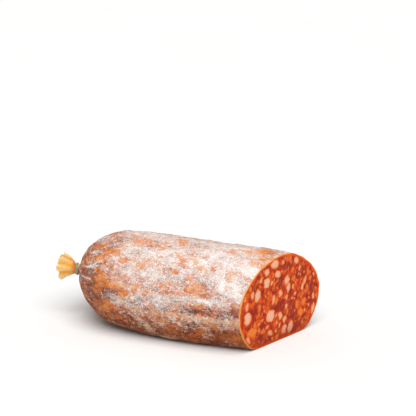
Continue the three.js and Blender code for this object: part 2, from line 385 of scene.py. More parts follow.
# %% Rings from the cut to the neck
rings, along = [], []
for i in range(BARREL_RINGS):
    x = DOME_LENGTH + (end_x - DOME_LENGTH) * (1 - i / BARREL_RINGS)
    rings.append(ring(x))
    along.append(x)
for turn in np.linspace(math.pi / 2, DOME_LAST_TURN, DOME_RINGS):
    x = DOME_LENGTH * (1 - math.cos(turn))
    pull = NECK_PULL * math.exp(-(radius_at(x) - NECK_RADIUS) / NECK_SPREAD)
    rings.append(ring(x) + pull * NECK_DIRECTION)
    along.append(np.full(AROUND, x))
for distance in np.linspace(NECK_PULL, NECK_LENGTH, NECK_RINGS) + NECK_OVERRUN:
    radius = NECK_RADIUS - NECK_INSET - NECK_CREASE * neck_crease(angles)
    reach = np.full(AROUND, distance)
    rings.append(neck_point(reach, radius * np.cos(angles), radius * np.sin(angles)))
    along.append(-reach)
rings = np.array(rings)
along = np.array(along)
print("casing rings", rings.shape)

# %% [markdown]
# ## The cut face
# The knife leaves one flat plane, so its points are a disc of shrinking copies of the rim. Sharing
# the rim's points with the casing keeps the whole body one closed skin. How deep a point lies inside
# the rim is measured as well, because the meat next to the casing has another colour.

# %% Disc of the cut
FACE_RINGS = 76
rim = rings[0]
middle = rim.mean(0)
face_axis = np.array([math.sin(CUT_ANGLE), math.cos(CUT_ANGLE), 0.0])
shrinks = 1 - np.arange(1, FACE_RINGS) / FACE_RINGS
discs = middle + (rim - middle) * shrinks[:, None, None]
print("face discs", discs.shape, "middle", middle.round(1))

# %% Depth of each point of the face inside the rim
# The distance to the rim is measured square to the rim and not along the spoke to the middle.
spokes = rim - middle
spokes = spokes / np.linalg.norm(spokes, axis=-1)[:, None]
edges_round = np.roll(rim, -1, 0) - np.roll(rim, 1, 0)
edges_round = edges_round / np.linalg.norm(edges_round, axis=-1)[:, None]
squareness = np.sqrt(1 - np.einsum("ij,ij->i", spokes, edges_round) ** 2)
rim_depth = np.linalg.norm(rim[None] - discs, axis=-1) * squareness[None]
print("deepest", rim_depth.max().round(1), "mm inside the rim")


# %% Faces between rings, and from a ring to a tip
def quads(first, second, around, flipped=False):
    """Faces between two rings of points, given the number of the first point of each."""
    here = np.arange(around)
    ahead = (here + 1) % around
    corners = [first + here, second + here, second + ahead, first + ahead]
    if flipped:
        corners[1:] = corners[:0:-1]
    return np.stack(corners, -1).tolist()


def fan(tip, first, around, flipped=False):
    """Triangles from a tip to a ring of points."""
    here = np.arange(around)
    ahead = (here + 1) % around
    corners = [np.full(around, tip), first + here, first + ahead]
    if flipped:
        corners[1:] = corners[:0:-1]
    return np.stack(corners, -1).tolist()


print("a square tube has these sides", quads(0, 4, 4), "and this end", fan(8, 0, 4))

# %% Join the casing, face and neck cap in one skin
casing_count = rings.shape[0] * AROUND
face_points = discs.reshape(-1, 3)
points = np.concatenate([rings.reshape(-1, 3), face_points, middle[None], rings[-1].mean(0)[None]])
faces = []
for r in range(rings.shape[0] - 1):
    faces += quads(r * AROUND, (r + 1) * AROUND, AROUND)
casing_faces = len(faces)
first = 0
for r in range(discs.shape[0]):
    second = casing_count + r * AROUND
    faces += quads(first, second, AROUND, flipped=True)
    first = second
centre = casing_count + len(face_points)
faces += fan(centre, first, AROUND)
face_faces = len(faces)
faces += fan(centre + 1, (rings.shape[0] - 1) * AROUND, AROUND, flipped=True)
body = new_piece("cured_body", in_frame(points), faces)
print("faces of the casing", casing_faces)

# %% [markdown]
# ## Where the mould grows
# Mould takes best on the crests and on the side that hung in moving air, and stays thin in the
# troughs and on the dome near the string. Soft islands, given by distance and angle, set how thick
# it grows, and the textures only break up their edges.

# %% Islands of mould
# x in mm, angle in degrees, reach in mm along and in degrees round, more or less mould.
MOULD_ISLANDS = [
    (190, 125, 34, 18, 0.36),
    (120, 118, 40, 12, 0.26),
    (100, 132, 26, 10, 0.26),
    (75, 116, 16, 8, 0.22),
    (112, 78, 56, 14, 0.54),
    (176, 84, 26, 12, 0.26),
    (178, 147, 13, 8, 0.32),
    (84, 148, 14, 8, 0.10),
    (140, 165, 66, 2.6, 0.40),
    (116, 171, 14, 3.5, 0.30),
    (120, 185, 70, 3.5, 0.34),
    (106, 148, 14, 8, 0.30),
    (120, 90, 40, 10, 0.16),
    (82, 106, 16, 6, -0.42),
    (140, 117, 8, 5, -0.60),
    (120, 100, 14, 5, -0.28),
    (112, 155, 16, 4, -0.20),
    (95, 113, 16, 7, -0.30),
    (106, 184, 10, 6, -0.60),
    (64, 135, 10, 8, 0.34),
    (180, 98, 14, 6, 0.34),
    (92, 202, 14, 8, 0.75),
    (126, 193, 12, 5, 0.60),
    (62, 190, 8, 4, 0.40),
    (70, 148, 20, 8, 0.20),
    (150, 122, 12, 6, 0.20),
    (114, 163, 22, 4, -0.40),
    (170, 178, 26, 2.5, -0.30),
    (150, 149, 14, 7, -0.46),
    (166, 158, 13, 4, -0.34),
    (212, 95, 10, 8, -0.60),
    (76, 172, 12, 5, -0.35),
    (172, 174, 34, 5, -0.62),
    (78, 200, 20, 9, -0.75),
    (188, 203, 18, 10, -1.0),
    (130, 203, 40, 9, -0.34),
    (45, 168, 18, 14, -0.80),
    (46, 190, 14, 12, -0.65),
    (38, 130, 16, 12, -0.34),
    (45, 205, 24, 20, -0.50),
    (12, 190, 14, 30, -0.35),
    (20, 215, 10, 14, -0.40),
    (15, 85, 12, 14, -0.15),
    (60, 20, 24, 16, 0.30),
    (146, 42, 30, 14, 0.30),
    (190, 355, 30, 16, -0.40),
    (110, 335, 30, 12, -0.34),
    (56, 330, 20, 14, -0.45),
    (204, 40, 22, 12, 0.30),
]

print("islands of mould", len(MOULD_ISLANDS))

# %% [markdown]
# ## Patches of the stuffing that show through
# Under the casing some meat has darkened where air reached it, and some fat has taken up paprika.
# Two long ridges have rubbed bare and dried to tan. These marks catch the eye, so they get lists of
# their own, in the same terms as the mould.

# %% Dark, golden and tan patches
DARK_PATCHES = [
    (155, 143, 5, 4, 0.8),
    (184, 174, 9, 4, 0.5),
    (158, 175, 9, 4, 0.5),
    (138, 178, 7, 3, 0.6),
    (120, 179, 9, 3, 0.6),
    (61, 172, 6, 5, 0.7),
    (20, 160, 12, 12, 0.6),
    (40, 186, 12, 12, 0.6),
    (95, 103, 6, 4, 0.5),
    (212, 82, 14, 6, 0.5),
    (120, 300, 60, 30, 0.3),
    (90, 30, 20, 12, 0.5),
    (170, 55, 16, 8, 0.5),
    (140, 350, 12, 8, 0.6),
]
GOLDEN_PATCHES = [
    (36, 138, 6, 5, 1.0),
    (47, 128, 6, 5, 0.6),
    (22, 146, 6, 8, 0.6),
    (59, 164, 7, 4, 0.7),
    (42, 163, 6, 5, 0.7),
    (48, 205, 8, 6, 0.8),
    (208, 95, 13, 8, 0.75),
    (76, 108, 10, 6, 0.7),
    (136, 106, 8, 5, 0.5),
    (52, 193, 12, 6, 0.6),
    (100, 187, 12, 3, 0.6),
    (125, 205, 20, 5, 0.5),
    (190, 206, 14, 7, 0.9),
    (150, 184, 30, 3, 0.5),
    (100, 45, 16, 10, 0.7),
    (170, 20, 14, 10, 0.7),
    (60, 345, 16, 12, 0.6),
]
TAN_RIDGES = [
    (66, 179, 16, 3.0, 0.8),
    (104, 185, 22, 2.6, 0.9),
    (150, 183, 26, 2.6, 0.9),
    (190, 184, 16, 2.6, 0.9),
    (72, 163, 18, 2.0, 0.6),
    (110, 165, 22, 1.8, 0.6),
    (60, 12, 40, 2.6, 0.7),
    (150, 8, 40, 2.6, 0.7),
]
print("patches", len(DARK_PATCHES), len(GOLDEN_PATCHES), len(TAN_RIDGES))

# %% Amount of mould at a point
MOULD_BASE = 0.52
ISLAND_SHARE = 0.55
FAR_SIDE_ANGLE = math.radians(20)
FAR_SIDE_LESS = 0.12


def islands(x, angle, spots):
    amount = np.zeros(x.shape)
    turned = np.degrees(angle) % 360
    for at_x, at_angle, long, wide, height in spots:
        round_it = (turned - at_angle + 180) % 360 - 180
        amount += height * np.exp(-(((x - at_x) / long) ** 2) - (round_it / wide) ** 2)
    return amount


def mould_at(x, angle):
    amount = MOULD_BASE + ISLAND_SHARE * islands(x, angle, MOULD_ISLANDS)
    # The far side was not so well aired.
    far_side = np.clip(np.cos(angle - FAR_SIDE_ANGLE), 0, 1)
    return amount - FAR_SIDE_LESS * far_side


print("mould half way", span(mould_at(np.full(ONCE_ROUND.shape, BODY_LENGTH / 2), ONCE_ROUND), 2))

# %% Store the marks on the skin
CREST_SHARE = 0.07
NECK_LESS = 0.04
FAR_FROM_CUT = 200
MERIDIAN_RADIUS = 25
MERIDIAN_STRETCH = 0.08
ring_angles = np.broadcast_to(angles, along.shape)
on_body = along > 0
crest = body_relief(along, ring_angles) + gathers(along, ring_angles)
mould = mould_at(along, ring_angles) + np.where(on_body, CREST_SHARE * crest, -NECK_LESS)
casing_marks = {
    "mould": mould,
    "dark": islands(along, ring_angles, DARK_PATCHES),
    "golden": islands(along, ring_angles, GOLDEN_PATCHES),
    "tan": islands(along, ring_angles, TAN_RIDGES),
    "folds": np.where(on_body, wrinkles(along, ring_angles), 0),
    "to_cut": np.where(on_body, end_x[None] - along, FAR_FROM_CUT),
    "from_pole": along,
}
round_it = MERIDIAN_RADIUS * np.stack([np.cos(ring_angles), np.sin(ring_angles)], -1)
meridian = np.concatenate([round_it, MERIDIAN_STRETCH * along[..., None]], -1).reshape(-1, 3)
for name, values in casing_marks.items():
    add_values(body, name, values.ravel())
add_vectors(body, "meridian", meridian)
print("mould", span(mould, 2))

# %% [markdown]
# ## Pieces of fat in the cut face
# The eye reads a cut sausage by its large pieces of fat, so those are placed one by one, each with
# its size and lean. Smaller ones are strewn at random where there is room. For every point of the
# face the script stores how deep it lies inside the nearest piece, which lets the finish draw crisp
# edges, halos and soft middles from a single number.

# %% Large pieces: across, up, width, height in mm, lean in degrees, how orange
LARGE_FAT = [
    (-11.7, 86.6, 12.6, 9.6, 0, 0.10),
    (-23.1, 80.8, 7.0, 7.8, 10, 0.25),
    (-7.2, 74.2, 9.0, 7.8, 25, 0.15),
    (-23.2, 69.2, 10.2, 11.0, 15, 0.05),
    (7.2, 64.5, 7.6, 10.8, 12, 0.12),
    (10.2, 55.2, 5.6, 11.4, 10, 0.10),
    (-36.7, 58.8, 8.6, 14.2, 14, 0.12),
    (-44.4, 61.4, 4.8, 8.4, 12, 0.30),
    (-52.1, 50.8, 4.6, 8.6, 10, 0.25),
    (-50.9, 38.0, 10.6, 13.8, 0, 0.06),
    (-16.6, 31.7, 12.6, 13.4, 10, 0.12),
    (-1.8, 27.4, 6.8, 9.6, -20, 0.15),
    (4.8, 21.8, 5.2, 8.0, 10, 0.35),
    (4.8, 10.8, 6.8, 11.6, 14, 0.10),
    (14.5, 10.6, 8.0, 13.8, 14, 0.08),
    (50.7, 20.6, 5.6, 13.4, 12, 0.16),
    (21.5, 82.4, 6.6, 8.6, -25, 0.30),
    (36.2, 56.9, 4.8, 8.6, 8, 0.40),
    (32.4, 51.4, 4.6, 9.4, 8, 0.14),
    (-2.0, 52.6, 6.2, 8.4, -25, 0.30),
    (-12.5, 48.6, 4.8, 10.4, 14, 0.30),
    (21.1, 46.3, 4.2, 4.6, 0, 0.30),
    (-49.5, 13.5, 5.6, 10.0, -25, 0.25),
    (-17.3, 12.7, 8.2, 6.6, 25, 0.30),
    (7.4, 35.7, 3.6, 7.2, 14, 0.20),
    (50.7, 36.0, 4.0, 7.6, 10, 0.30),
    (-31.5, 74.5, 4.0, 7.0, 20, 0.45),
    (27.0, 73.0, 3.6, 6.0, 5, 0.50),
]
print("large pieces of fat", len(LARGE_FAT))

# %% Pieces stained orange, and places with more lean
LARGE_STAINED = [
    (30.5, 22.0, 8.0, 9.6, 15, 0.9),
    (35.1, 33.4, 7.6, 9.0, 10, 0.8),
    (-43.9, 20.8, 16.0, 11.0, -8, 0.7),
    (-28.0, 17.0, 8.0, 6.0, 20, 0.8),
    (24.0, 33.0, 6.0, 10.0, 12, 0.9),
    (-34.0, 45.0, 5.0, 9.0, 18, 0.8),
    (41.0, 66.0, 4.0, 9.0, 4, 0.8),
    (16.0, 74.0, 5.0, 8.0, -8, 0.8),
    (11.5, 87.0, 6.0, 8.0, 0, 0.5),
    (-8.0, 45.5, 5.0, 9.0, 20, 0.4),
]
# Across, up, half width and half height in mm.
LEAN_ZONES = [
    (6, 81, 7, 5),
    (30, 67, 8, 8),
    (17, 22, 10, 9),
    (24, 8, 9, 4),
    (-30, 11, 9, 6),
    (17, 38, 9, 7),
    (-40, 45, 6, 6),
    (46, 45, 6, 11),
    (-40, 68, 6, 5),
    (-5, 40, 7, 5),
    (-30, 24, 6, 4),
    (-2, 64, 6, 5),
]
print("stained pieces placed", len(LARGE_STAINED), "and lean places", len(LEAN_ZONES))

# %% Across and up on the face
offset = points[:-1] - middle
across = offset @ face_axis
up = offset[:, 2] + middle[2]
print("face", (across[:AROUND].max() - across[:AROUND].min()).round(1), "mm across")

# %% Depth inside the nearest piece
FAR_OUTSIDE = -9.0


def depth_inside(pieces, across, up):
    """Signed depth in mm inside the nearest of the pieces, and how orange that piece is."""
    best = np.full(across.shape, FAR_OUTSIDE)
    tone = np.zeros(across.shape)
    for at_across, at_up, width, height, lean, orange in pieces:
        turn = math.radians(lean)
        dx, dy = across - at_across, up - at_up
        side = dx * math.cos(turn) - dy * math.sin(turn)
        tall = dx * math.sin(turn) + dy * math.cos(turn)
        reach = np.hypot(side / (width / 2), tall / (height / 2))
        depth = (1 - reach) * min(width, height) / 2
        nearer = depth > best
        tone = np.where(nearer, orange, tone)
        best = np.where(nearer, depth, best)
    return best, tone


def zone_amount(across, up):
    amount = np.zeros(np.shape(across))
    for x, z, half_width, half_height in LEAN_ZONES:
        amount += np.exp(-(((across - x) / half_width) ** 2) - ((up - z) / half_height) ** 2)
    return np.minimum(amount, 1)


lean_share = (zone_amount(across, up)[casing_count:] > 0.5).mean()
print("share of the face in the lean places", lean_share.round(2))

# %% [markdown]
# ## Strewing the smaller pieces
# Small pieces lie wherever there is room, so a place, size and lean are drawn at random and kept
# only if they clear the rim, the lean places and the pieces already there. Small fat stays apart,
# while stained pieces may run into each other a little, as they do in a coarse mince.

# %% Room for a piece
ACROSS_RANGE = (-60, 57)
UP_RANGE = (2, 93)
RIM_MARGIN = 3
FACE_MIDDLE_UP = 42
FACE_HALF_WIDTH, FACE_HALF_HEIGHT = 59, 54
rim_across = across[:AROUND]
rim_up = up[:AROUND]


def in_face(x, z):
    clear_of_rim = np.min(np.hypot(rim_across - x, rim_up - z)) >= RIM_MARGIN
    off_middle = np.hypot(x / FACE_HALF_WIDTH, (z - FACE_MIDDLE_UP) / FACE_HALF_HEIGHT)
    return clear_of_rim and off_middle <= 1


print("is there room in the middle?", bool(in_face(0, FACE_MIDDLE_UP)))

# %% Strew smaller pieces
SIDE_WEIGHT, UP_WEIGHT = 1.15, 0.85
TALLER = 1.15
SLIMNESS = (0.5, 0.85)
BIG_PIECE = 3
MOST_LEAN = 0.4
LEAN_MIDDLE, LEAN_SPREAD = 8, 18
TRIES_EACH = 25


def strew(taken, count, sizes, spacing, orange):
    """Adds pieces at random in the face, clear of those already there."""
    placed = list(taken)
    spots = np.array([[p[0], p[1], max(p[2], p[3])] for p in placed])
    for _ in range(count * TRIES_EACH):
        if len(placed) - len(taken) >= count:
            break
        x, z = rng.uniform(*ACROSS_RANGE), rng.uniform(*UP_RANGE)
        if not in_face(x, z):
            continue
        size = rng.uniform(*sizes)
        if size > BIG_PIECE and zone_amount(x, z) > MOST_LEAN:
            continue
        apart = np.hypot((spots[:, 0] - x) * SIDE_WEIGHT, (spots[:, 1] - z) * UP_WEIGHT)
        if (apart - (spots[:, 2] + size) / 2).min() < spacing:
            continue
        slim = rng.uniform(*SLIMNESS)
        tone = rng.uniform(*orange)
        lean = rng.normal(LEAN_MIDDLE, LEAN_SPREAD)
        placed.append((x, z, size * slim, size * TALLER, lean, tone))
        spots = np.vstack([spots, [x, z, size]])
    return placed[len(taken):]


large = LARGE_FAT + LARGE_STAINED
small_fat = strew(large, count=44, sizes=(2.2, 5.4), spacing=0.3, orange=(0.15, 0.7))
all_fat = LARGE_FAT + small_fat
stained = strew(all_fat, count=90, sizes=(2.4, 6.4), spacing=-0.6, orange=(0.1, 1.0))
stained = LARGE_STAINED + stained
print("fat pieces", len(all_fat), "stained pieces", len(stained))

# %% Bend the outlines and the grain
# The knife cut soft pieces, so no outline is a true ellipse. The lean's grain leans and sways.
GRAIN_ANGLE = math.radians(20)
GRAIN_SWAY, GRAIN_SWAY_SIZE = 2.5, 24
BEND, BEND_SIZE = 0.4, 7
FINE_BEND, FINE_BEND_SIZE = 0.12, 2.6
face_spots = np.stack([across, up, 0 * up], -1)


def bend(seed):
    broad = BEND * wave_field(face_spots, BEND_SIZE, 16, seed)
    return broad + FINE_BEND * wave_field(face_spots, FINE_BEND_SIZE, 16, seed + 1)


def grain(turn, seed):
    straight = across * math.cos(turn) - up * math.sin(turn)
    return straight + GRAIN_SWAY * wave_field(face_spots, GRAIN_SWAY_SIZE, 10, seed)


bent_across, bent_up = across + bend(21), up + bend(23)
meat_grain = [grain(GRAIN_ANGLE, 25), grain(GRAIN_ANGLE - math.pi / 2, 26), 0 * up]
print("outlines bent by up to", np.abs(bent_across - across).max().round(1), "mm")

# %% Store the marks on the face
MIDDLE_DEPTH = 45.0
fat, fat_tone = depth_inside(all_fat, bent_across, bent_up)
stain, stain_tone = depth_inside(stained, bent_across, bent_up)
face_marks = {
    "fat": fat,
    "fat_tone": fat_tone,
    "stain": stain,
    "stain_tone": stain_tone,
    "rim": np.concatenate([np.zeros(casing_count), rim_depth.ravel(), [MIDDLE_DEPTH]]),
    "across": across,
    "lean_zone": zone_amount(across, up),
}
for name, values in face_marks.items():
    add_values(body, name, values)
add_vectors(body, "face", face_spots)
add_vectors(body, "meat_grain", np.stack(meat_grain, -1))
print("share of the face that is fat", (fat[casing_count:] > 0).mean().round(2))

# %% [markdown]
# ## Building finishes from small steps
# Each finish is a network of small nodes: coordinates, textures, masks and mixes. The helpers below
# keep every step to one readable line, and let values from nodes be added and multiplied like plain
# numbers, so that a recipe can be read from top to bottom. Colours are given as they look on screen
# and turned into linear light once.


# %% Colours as they look on screen
def to_linear(value):
    """From a screen value, 0 to 255, to linear light, 0 to 1."""
    share = value / 255
    return ((share + 0.055) / 1.055) ** 2.4 if value > 10 else share / 12.92


def screen(red, green, blue):
    return (to_linear(red), to_linear(green), to_linear(blue), 1.0)


print("middle grey is", round(to_linear(128), 3), "in linear light")


# %% Values that add up like numbers
class Value:
    """An output of a node. Each sum or product adds one math node to the same finish."""

    def __init__(self, finish, socket):
        self.finish = finish
        self.socket = socket

    def __add__(self, other):
        return self.finish.math("ADD", self, other)

    def __sub__(self, other):
        return self.finish.math("SUBTRACT", self, other)

    def __rsub__(self, other):
        return self.finish.math("SUBTRACT", other, self)

    def __mul__(self, other):
        return self.finish.math("MULTIPLY", self, other)

    def step(self, low, high):
        """A soft step: 0 below low, 1 above high."""
        inputs = {"Value": self, "From Min": low, "From Max": high}
        return self.finish.node("MapRange", inputs, "Result", interpolation_type="SMOOTHSTEP")


# %% Nodes of a finish
class Nodes:
    """A material under construction. Its methods add nodes and return their outputs."""

    def __init__(self, name):
        self.material = bpy.data.materials.new(name)
        self.material.use_nodes = True
        self.tree = self.material.node_tree
        self.tree.nodes.clear()

    def plug(self, socket, value):
        if isinstance(value, Value):
            self.tree.links.new(value.socket, socket)
        elif value is not None:
            socket.default_value = value

    def node(self, kind, inputs, output=0, **settings):
        """One node: its settings, then its inputs by name or number, then the output asked for."""
        node = self.tree.nodes.new("ShaderNode" + kind)
        for name, value in settings.items():
            setattr(node, name, value)
        for name, value in inputs.items():
            self.plug(node.inputs[name], value)
        return Value(self, node.outputs[output])

    def math(self, operation, a, b):
        return self.node("Math", {0: a, 1: b}, operation=operation)

    def channel(self, colour, number):
        return self.node("SeparateColor", {0: colour}, number)

    def mix(self, share, a, b):
        """Colour a, with a share of colour b. Either is an output, or red, green and blue on screen."""
        a, b = (screen(*colour) if isinstance(colour, tuple) else colour for colour in (a, b))
        return self.node("Mix", {0: share, 6: a, 7: b}, 2, data_type="RGBA")

    def lay(self, ground, *layers):
        """Colours laid over a ground in turn, each with its share."""
        for share, colour in layers:
            ground = self.mix(share, ground, colour)
        return ground

    def ramp(self, value, *stops):
        node = self.tree.nodes.new("ShaderNodeValToRGB")
        self.plug(node.inputs[0], value)
        ramp = node.color_ramp
        while len(ramp.elements) < len(stops):
            ramp.elements.new(0.5)
        for element, (position, colour) in zip(ramp.elements, stops):
            element.position = position
            element.color = screen(*colour)
        return Value(self, node.outputs[0])


# %% Places and textures
class Textures(Nodes):
    def attribute(self, name, output="Fac"):
        return self.node("Attribute", {}, output, attribute_name=name)

    def place(self, scale=(1000, 1000, 1000), source=None):
        """Coordinates in millimetres of the shared frame, or a scaled source."""
        if source is None:
            source = self.node("TexCoord", {}, "Object")
        return self.node("Mapping", {"Vector": source, "Scale": scale}, "Vector")

    def level(self):
        """Height above the floor in metres."""
        return self.node("SeparateXYZ", {0: self.place((1, 1, 1))}, 2)

    def noise(self, where, size, detail=2.0, roughness=0.5, output="Fac"):
        inputs = {"Vector": where, "Scale": 1 / size, "Detail": detail, "Roughness": roughness}
        return self.node("TexNoise", inputs, output)

    def cells(self, where, size, output="Color", feature="F1"):
        return self.node("TexVoronoi", {"Vector": where, "Scale": 1 / size}, output, feature=feature)

    def shift(self, where, amount, size, detail=2.0):
        """Coordinates pushed about by noise, so that edges wander."""
        push = self.noise(where, size, detail, output="Color")
        inputs = {0: push, 1: (amount, amount, amount), 2: where}
        return self.node("VectorMath", inputs, operation="MULTIPLY_ADD")


# %% Relief and surface
class Finish(Textures):
    def bump(self, height, depth_mm, strength):
        inputs = {"Distance": depth_mm * MM, "Strength": strength, "Height": height}
        return self.node("Bump", inputs)

    def surface(self, colour, roughness, normal=None, specular=0.5):
        inputs = {"Base Color": colour, "Roughness": roughness, "Normal": normal}
        inputs["Specular IOR Level"] = specular
        return self.node("BsdfPrincipled", inputs)

    def done(self, shader):
        output = self.tree.nodes.new("ShaderNodeOutputMaterial")
        self.plug(output.inputs["Surface"], shader)
        self.note("finish")

    def note(self, what):
        print(self.material.name, "has its", what, "-", len(self.tree.nodes), "nodes so far")


print("textures:", [name for name in vars(Textures) if not name.startswith("_")])

# %% [markdown]
# ## The casing under the mould
# Through dry casing one sees the stuffing: pieces of lean and fat as blurred patches of red-brown,
# orange and tan, and a few purplish where air has reached the meat. Two sizes of cells with
# wandering edges give those patches. They are stretched a little along the sausage.

# %% Patches under the casing
casing = Finish("mouldy_casing")
skin = casing.place((760, 1000, 1000))
wander = casing.shift(casing.shift(skin, 5, 7, 3), 2.4, 2.2, 2)
large = casing.cells(wander, 7.5, feature="SMOOTH_F1")
thick = casing.channel(large, 0)
hue = casing.channel(large, 1)
small = casing.channel(casing.cells(wander, 3.6, feature="SMOOTH_F1"), 0)
cloud = casing.noise(skin, 26, 2)
crumb = casing.noise(skin, 1.5, 4, 0.7)
tone = thick * 0.5 + small * 0.4 + (cloud - 0.5) * 0.5 + (crumb - 0.5) * 0.5
orange = casing.ramp(
    tone,
    (0.15, (136, 62, 30)),
    (0.35, (182, 88, 34)),
    (0.50, (208, 118, 52)),
    (0.65, (222, 148, 84)),
    (0.85, (228, 174, 124)),
)
brown = casing.ramp(
    tone,
    (0.15, (84, 50, 48)),
    (0.35, (124, 64, 50)),
    (0.55, (158, 84, 62)),
    (0.80, (188, 120, 96)),
)
casing.note("patches")

# %% [markdown]
# ## Where the stuffing looks darker
# The low side got less air, so it shows browner patches, and its colours are also painted darker
# and warmer, as painted shade and a painted warm light bounced up from below. The dome near the
# string is worn by the folds. Masks made from the height above the floor and the distance from the
# tied pole shift the colours there, and the stored patches add the dark and the golden places.

# %% Low side, dome, dark and golden places
pole = casing.attribute("from_pole").step(85.0, 5.0)
# The low side mask: less mould grows there, and its colours get painted shade and a painted warm bounced
# light.
shaded_low_side = casing.level().step(0.050, 0.012)
# The lower half and the dome get more brown lean and dark blotches: partly their own colour, partly
# painted shade.
shaded_lower_half = casing.math("MAXIMUM", casing.level().step(0.066, 0.046), pole)
dark = casing.attribute("dark")
lean_share = hue.step(0.46, 0.62) * (shaded_lower_half * 0.8 + 0.12)
lean_share = casing.math("MINIMUM", lean_share + dark * 1.3, 1.0)
golden = casing.attribute("golden") * casing.noise(skin, 5, 3).step(0.30, 0.52)
# On the low side the dark places, the stuffing and the golden places are painted darker and warmer, as
# shade and warm light bounced up from below.
stuffing = casing.lay(
    orange,
    (lean_share, brown),
    (dark.step(0.35, 0.9), casing.mix(shaded_low_side, (88, 58, 60), (84, 42, 24))),
    (pole * 0.4, casing.mix(small, (110, 54, 36), (178, 92, 36))),
    (shaded_low_side * 0.85, casing.mix(tone.step(0.34, 0.62), (90, 36, 10), (192, 86, 14))),
    (golden * 0.8, casing.mix(shaded_low_side * 0.8, (248, 162, 84), (176, 84, 18))),
)
casing.note("stuffing")

# %% [markdown]
# ## How thick the mould grows
# One value, growth, adds up all that helps or hinders the mould: the stored islands, textures from
# broad clouds down to dust, thin lines along the seams between pieces of meat, streaks that fan out
# from the string, and the crests of the folds. Later steps only cut this value at a few heights.

# %% Growth of the mould
broad = casing.noise(casing.place((560, 1000, 1000)), 15, 3, 0.6)
flecks = casing.noise(skin, 3.6, 5, 0.72)
dust = casing.noise(skin, 1.0, 3, 0.75)
bare = (thick + cloud * 0.6).step(0.90, 1.02)
seams = casing.cells(wander, 7.5, "Distance", "DISTANCE_TO_EDGE").step(0.10, 0.0)
vein = seams * casing.noise(skin, 5, 2).step(0.38, 0.62)
streak = casing.noise(casing.attribute("meridian", "Vector"), 1.7, 4, 0.6).step(0.46, 0.70)
clouds = casing.noise(casing.place((700, 1000, 1000)), 12, 5, 0.68).step(0.46, 0.58)
growth = casing.attribute("mould")
for texture, share in ((broad, 0.9), (flecks, 0.8), (dust, 2.0), (thick, -0.2)):
    growth = growth + (texture - 0.5) * share
for amount, share in (
    (bare, -0.22),
    (vein, shaded_low_side * 0.30 + 0.16),
    (streak * pole, 0.46),
    (casing.attribute("folds"), 0.75),
    (golden, -0.22),
    (pole, -0.29),
    (shaded_lower_half, -0.02),
    (shaded_low_side, clouds * 0.66 - 0.44),
):
    growth = growth + amount * share
casing.note("growth of mould")

# %% [markdown]
# ## Mould in two layers
# A thin film of mould only veils the casing and turns it pinkish grey. Above it stand powdery
# tufts, nearly white, that break into specks at their edges. Both grow from the same value, so
# powder always sits inside film.

# %% Film and powder
film = growth.step(0.08, 0.68)
specks = casing.noise(skin, 1.9, 1).step(0.57, 0.66) * growth.step(0.02, 0.40) * 0.66
gaps = casing.noise(wander, 1.7, 1).step(0.56, 0.68) * 0.5
powder = casing.math("MAXIMUM", growth.step(0.42, 0.94) * (1.0 - gaps), specks)
veil = casing.mix(casing.noise(skin, 11, 2), (216, 198, 194), (234, 213, 196))
# On the low side the film and the powder are painted darker and warmer, as shade and warm light bounced
# up from below.
coat = casing.lay(
    stuffing,
    (film * (0.62 - shaded_low_side * 0.22), casing.mix(shaded_low_side * 0.8, veil, (194, 138, 104))),
    (powder * 0.92, casing.mix(shaded_low_side * 0.85, (247, 242, 237), (244, 196, 158))),
)
casing.note("film and powder")

# %% [markdown]
# ## Wear, painted shade and painted light over the mould
# Dark blotches and pale flecks roughen the lower half, and the blotches are partly painted shade. The
# ridges are rubbed to tan. Close to the floor the casing is darkened with painted shade. Right at the
# cut the thin casing is painted with a golden glow, and at the string the neck is painted lighter
# against the shade between string and dome. Each is one mask and one colour, so they stand in one
# list, in the order in which they are laid on.

# %% Blotches, flecks, tan crests and edges
lumps = casing.noise(wander, 2.6, 2)
rubbed = casing.noise(wander, 3.4, 3).step(0.34, 0.60)
pale_flecks = casing.noise(skin, 2.2, 3, 0.65).step(0.54, 0.66)
coat = casing.lay(
    coat,
    # Dark blotches in the lower half: partly the casing's own colour, partly painted shade.
    (lumps.step(0.52, 0.66) * shaded_lower_half * 0.48, (92, 44, 22)),
    (pale_flecks * shaded_low_side * 0.5, (228, 186, 154)),
    (casing.attribute("tan") * rubbed * 0.7, (224, 184, 142)),
    # Painted shade: the casing darker close to the floor.
    (casing.level().step(0.030, 0.003) * 0.62, (110, 46, 14)),
    # Painted glow: the thin casing golden right at the cut.
    (casing.attribute("to_cut").step(1.8, 0.4) * 0.6, (232, 162, 84)),
    # Painted light: the neck at the string made lighter against the shade between string and dome, over
    # its own light tan.
    (casing.attribute("from_pole").step(0.9, -0.5) * 0.85, (248, 196, 144)),
)
height = powder * 0.8 + flecks * 0.9 + lumps * 0.9
roughness = film * 0.24 + 0.62
casing.done(casing.surface(coat, roughness, casing.bump(height, 0.5, 0.7), specular=0.16))

# %% [markdown]
# ## The moist cut
# A fresh cut shows deep red lean, soft orange where fat has taken up paprika, and cream fat with an
# orange halo. The lean is mottled by cells that are stretched along its grain, in three sizes.

# %% Lean in the cut
cut = Finish("marbled_cut")
face = cut.attribute("face", "Vector")
along_grain = cut.attribute("meat_grain", "Vector")


def grain_cells(stretch, amount, wander_size, size):
    """Cells with wandering edges, stretched along the grain of the meat."""
    where = cut.place((1, stretch, 1), cut.shift(along_grain, amount, wander_size, 2))
    return cut.channel(cut.cells(where, size), 0)


